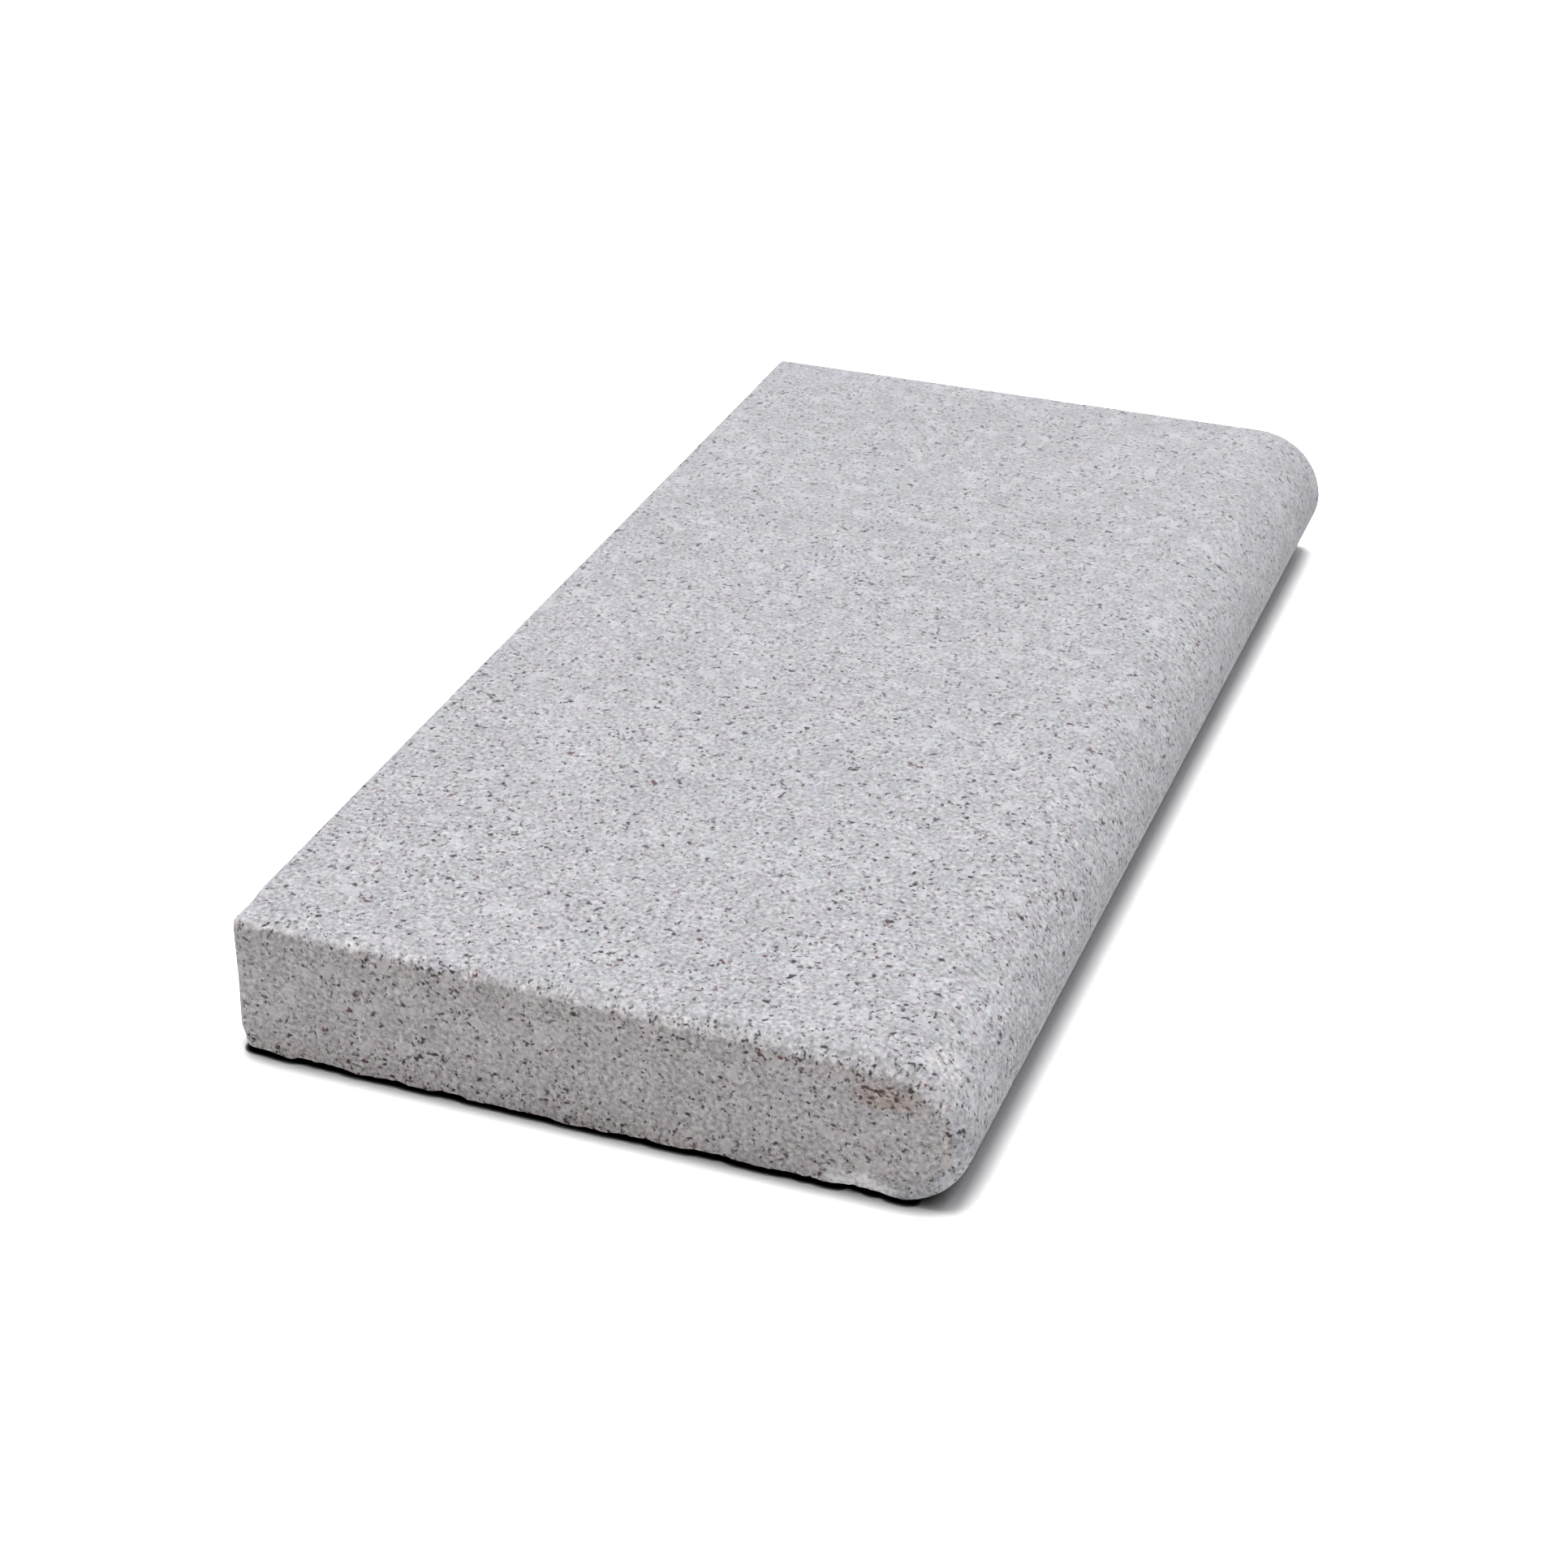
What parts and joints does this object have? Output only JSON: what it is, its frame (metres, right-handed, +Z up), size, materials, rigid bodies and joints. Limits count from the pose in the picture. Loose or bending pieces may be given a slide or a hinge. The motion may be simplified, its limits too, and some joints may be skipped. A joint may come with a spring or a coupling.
{
  "type": "pool coping stone",
  "caption": "Rectangular granite slab with one long edge rounded to a bullnose, laid as the rim of a swimming pool.",
  "frame": {"origin": "middle of the flat bed, under the middle of the stone's box", "axes": "+X from the back face to the rounded pool edge, +Y along the pool edge, +Z up out of the walking face"},
  "size_m": [0.3, 0.6, 0.062],
  "materials": {
    "granite": "fine-grained light grey granite, flamed on top and nose, sawn on the ends"
  },
  "bodies": {
    "root": {"coping_stone": "granite"}
  },
  "joints": []
}
